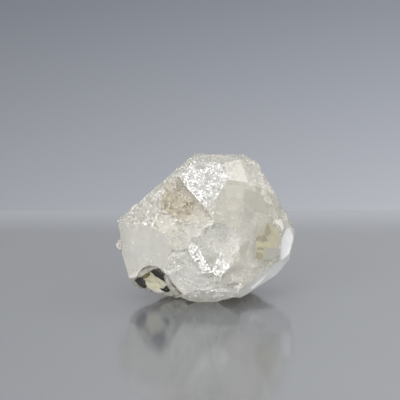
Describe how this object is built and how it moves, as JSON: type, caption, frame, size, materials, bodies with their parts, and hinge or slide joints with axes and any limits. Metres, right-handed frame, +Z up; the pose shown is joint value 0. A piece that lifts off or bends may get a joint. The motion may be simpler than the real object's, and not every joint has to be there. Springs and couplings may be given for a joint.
{
  "type": "topaz crystal",
  "caption": "Single clear natural topaz crystal: flat pyramid faces and a truncated cap on top, a broken and etched body below, resting on a small flat spot.",
  "frame": {"origin": "bottom centre of the bounding box, on the ground the crystal rests on", "axes": "+X to the viewer's right along the crystal's longest extent, +Y away from the viewer, +Z up"},
  "size_m": [0.0302, 0.0234, 0.0238],
  "materials": {
    "topaz": "clear faces, frosted and etched patches, milky veils inside"
  },
  "bodies": {
    "root": {"topaz_crystal": "topaz"}
  },
  "joints": []
}
